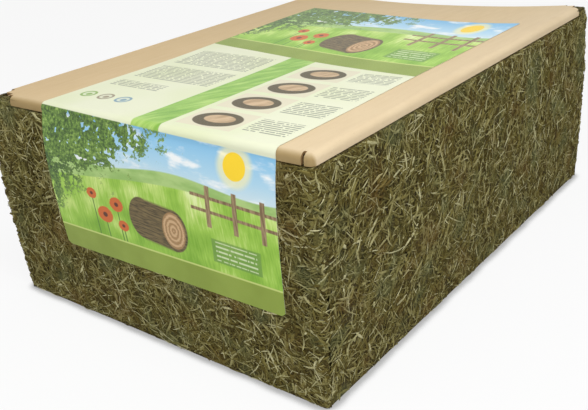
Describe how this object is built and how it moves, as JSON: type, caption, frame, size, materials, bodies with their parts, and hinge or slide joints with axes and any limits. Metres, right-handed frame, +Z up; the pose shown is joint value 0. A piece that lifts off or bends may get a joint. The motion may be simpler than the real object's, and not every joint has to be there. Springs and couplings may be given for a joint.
{
  "type": "small animal digging box",
  "caption": "Low carton box clad in pressed hay, with digging litter inside, a lift-off folded board lid and a printed sheet over the lid and down the short front wall.",
  "frame": {"origin": "middle of the base, on the face that the box rests on", "axes": "+Z up; -Y towards the front, the short side that the printed sheet hangs down; +X towards the right-hand long side seen from the front"},
  "size_m": [0.29, 0.4205, 0.1622],
  "materials": {
    "tray_board": "matte",
    "lid_board": "matte",
    "pressed_hay": "matte",
    "dried_forage": "matte",
    "loose_litter": "matte",
    "printed_paper": "satin"
  },
  "bodies": {
    "box": {"carton_tray": "tray_board", "hay_mat_front_outer": "pressed_hay", "hay_mat_back_outer": "pressed_hay", "hay_mat_left_outer": "pressed_hay", "hay_mat_right_outer": "pressed_hay", "hay_mat_front_inner": "pressed_hay", "hay_mat_back_inner": "pressed_hay", "hay_mat_left_inner": "pressed_hay", "hay_mat_right_inner": "pressed_hay", "hay_mat_floor": "pressed_hay", "forage_layer": "dried_forage", "digging_litter": "loose_litter"},
    "lid": {"lid_board": "lid_board", "label_top": "printed_paper"},
    "label_leaf": {"label_drop": "printed_paper"}
  },
  "joints": [
    {"name": "lid_lift", "type": "slide", "parent": "box", "child": "lid", "axis": [0, 0, 1], "range_m": [0, 0.2]},
    {"name": "label_peel", "type": "hinge", "parent": "lid", "child": "label_leaf", "pos_m": [0, -0.21043, 0.1544], "axis": [-1, 0, 0], "range_deg": [0, 115]}
  ]
}
